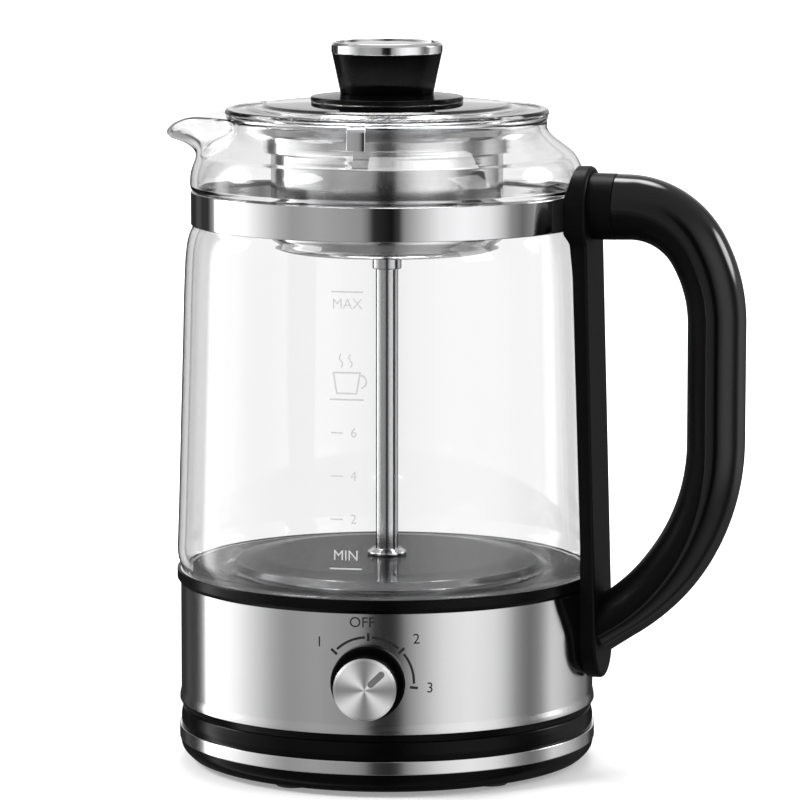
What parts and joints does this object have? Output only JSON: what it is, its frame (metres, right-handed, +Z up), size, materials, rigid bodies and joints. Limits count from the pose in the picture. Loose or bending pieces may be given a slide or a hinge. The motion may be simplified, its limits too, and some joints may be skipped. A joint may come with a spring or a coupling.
{
  "type": "automatic tea maker",
  "caption": "Glass tea jug on a heated steel foot, with a steam-fed tea basket, a side handle and a selector dial, on a round power base.",
  "frame": {"origin": "centre of the plane that the rubber feet rest on, on the axis of the jug", "axes": "+Z up along the axis of the jug, +X towards the handle, -X towards the spout, -Y towards the side where the dial faces"},
  "size_m": [0.1996, 0.1549, 0.242],
  "materials": {
    "base_black": "glossy black plastic",
    "band_steel": "steel brushed round the base",
    "foot_rubber": "soft grey rubber",
    "gland_rubber": "black rubber",
    "screw_steel": "zinc plated",
    "socket_plastic": "black heat resistant plastic",
    "contact_brass": "bare brass",
    "cover_black": "glossy black plastic",
    "sleeve_steel": "stainless steel with a fine vertical sheen",
    "ring_black": "black plastic",
    "seal_silicone": "translucent silicone",
    "plate_steel": "stainless steel, satin",
    "heater_alloy": "die-cast",
    "component_plastic": "black phenolic",
    "board_green": "green circuit board",
    "bezel_black": "glossy black plastic",
    "jug_glass": "clear borosilicate glass",
    "clamp_steel": "polished stainless steel band",
    "spine_matte": "fine matte black",
    "handle_matte": "fine matte black",
    "handle_gloss": "glossy black",
    "dial_black": "glossy black",
    "dial_steel": "turned stainless steel face",
    "pointer_black": "black inlay",
    "basket_steel": "stainless steel",
    "tube_steel": "polished stainless steel",
    "lid_glass": "clear glass",
    "lid_black": "glossy black",
    "grip_black": "satin black",
    "trim_chrome": "polished",
    "cap_black": "glossy black"
  },
  "bodies": {
    "base": {"base_bottom_shell": "base_black", "base_feet": "foot_rubber", "cord_gland": "gland_rubber", "base_steel_band": "band_steel", "base_top_shell": "base_black", "base_screws": "screw_steel", "base_socket": "socket_plastic", "base_contacts": "contact_brass"},
    "coupler": {"coupler_housing": "socket_plastic", "coupler_contacts": "contact_brass"},
    "kettle": {"bottom_cover": "cover_black", "bottom_screws": "screw_steel", "steel_sleeve": "sleeve_steel", "seat_ring": "ring_black", "jug_seal": "seal_silicone", "heating_plate": "plate_steel", "heat_spreader": "heater_alloy", "heating_tube": "heater_alloy", "thermostat": "component_plastic", "thermal_fuse": "component_plastic", "circuit_board": "board_green", "rotary_switch": "component_plastic", "switch_bracket": "socket_plastic", "bracket_screws": "screw_steel", "dial_bezel": "bezel_black", "glass_jug": "jug_glass", "shoulder_band": "clamp_steel", "clamp_screw": "screw_steel", "handle_spine": "spine_matte", "handle_inner_shell": "handle_matte", "handle_outer_shell": "handle_gloss", "handle_screws": "screw_steel"},
    "dial": {"dial_knob": "dial_black", "dial_shaft": "screw_steel", "dial_cap": "dial_steel", "dial_pointer": "pointer_black"},
    "basket": {"basket_cup": "basket_steel", "basket_collar": "basket_steel", "strainer_plate": "basket_steel", "steam_tube": "tube_steel", "tube_foot": "tube_steel", "tube_nut": "tube_steel", "spray_cap": "tube_steel"},
    "lid": {"lid_glass": "lid_glass", "lid_washer": "seal_silicone", "lid_screw": "screw_steel", "lid_disc": "lid_black", "lid_grip": "grip_black", "lid_trim_ring": "trim_chrome", "lid_cap": "cap_black"}
  },
  "joints": [
    {"name": "kettle_lift", "type": "slide", "parent": "base", "child": "coupler", "axis": [0, 0, 1], "range_m": [0, 0.06]},
    {"name": "kettle_swivel", "type": "hinge", "parent": "coupler", "child": "kettle", "pos_m": [0, 0, 0], "axis": [0, 0, 1], "continuous": true},
    {"name": "dial_turn", "type": "hinge", "parent": "kettle", "child": "dial", "pos_m": [0, 0, 0.0388], "axis": [0.1908, -0.9816, 0], "range_deg": [-51, 95]},
    {"name": "basket_lift", "type": "slide", "parent": "kettle", "child": "basket", "axis": [0, 0, 1], "range_m": [0, 0.16]},
    {"name": "lid_lift", "type": "slide", "parent": "basket", "child": "lid", "axis": [0, 0, 1], "range_m": [0, 0.06]}
  ]
}
